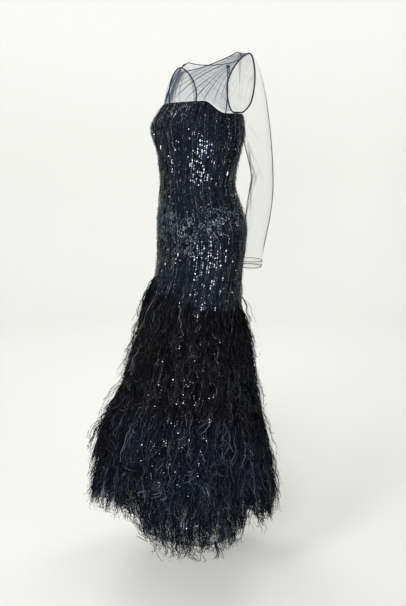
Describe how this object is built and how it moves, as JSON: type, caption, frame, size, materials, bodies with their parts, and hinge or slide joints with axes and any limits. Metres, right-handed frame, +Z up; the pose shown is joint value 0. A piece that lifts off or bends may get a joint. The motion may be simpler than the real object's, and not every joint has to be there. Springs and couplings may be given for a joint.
{
  "type": "mermaid evening gown",
  "caption": "Hollow fit-and-flare evening gown with princess seams, sheer gathered yoke, long fine sleeves, hip beading, back zip and tiers of feather fringe on the flared skirt.",
  "frame": {"origin": "midway between the two shoulder tops, where the wearer's shoulders hold the gown", "axes": "+Z up along the height, -Y to the gown's front, +X to the wearer's left"},
  "size_m": [0.5994, 0.5662, 1.3254],
  "materials": {
    "sequinned_tulle": "midnight navy tulle, closely sewn with small sequins",
    "yoke_tulle": "sheer navy tulle, matt",
    "sleeve_net": "very fine pale net, almost clear",
    "binding": "dark navy rolled binding, matt",
    "ostrich": "curled ostrich barbs, very dark navy, soft",
    "beads": "dark faceted beads, glossy",
    "zip_metal": "dark enamelled zip metal"
  },
  "bodies": {
    "gown": {"front_centre": "sequinned_tulle", "side_front_left": "sequinned_tulle", "side_front_right": "sequinned_tulle", "side_back_left": "sequinned_tulle", "side_back_right": "sequinned_tulle", "back_left": "sequinned_tulle", "back_right": "sequinned_tulle", "yoke_front": "yoke_tulle", "yoke_back_left": "yoke_tulle", "yoke_back_right": "yoke_tulle", "neck_binding": "binding", "armhole_binding_left": "binding", "armhole_binding_right": "binding", "sleeve_left": "sleeve_net", "sleeve_right": "sleeve_net", "cuff_left": "sleeve_net", "cuff_right": "sleeve_net", "stud_left_1": "zip_metal", "stud_left_2": "zip_metal", "stud_right_1": "zip_metal", "stud_right_2": "zip_metal", "rosette_01": "beads", "rosette_02": "beads", "rosette_03": "beads", "rosette_04": "beads", "rosette_05": "beads", "rosette_06": "beads", "rosette_07": "beads", "rosette_08": "beads", "rosette_09": "beads", "rosette_10": "beads", "rosette_11": "beads", "rosette_12": "beads", "feather_tier_1": "ostrich", "feather_tier_2": "ostrich", "feather_tier_3": "ostrich", "feather_tier_4": "ostrich", "feather_tier_5": "ostrich", "zip_chain": "zip_metal", "zip_slider": "zip_metal"},
    "pull": {"zip_pull": "zip_metal"}
  },
  "joints": [
    {"name": "zip_pull_hinge", "type": "hinge", "parent": "gown", "child": "pull", "pos_m": [0, 0.0568, -0.01925], "axis": [1, 0, 0], "range_deg": [0, 150]}
  ]
}
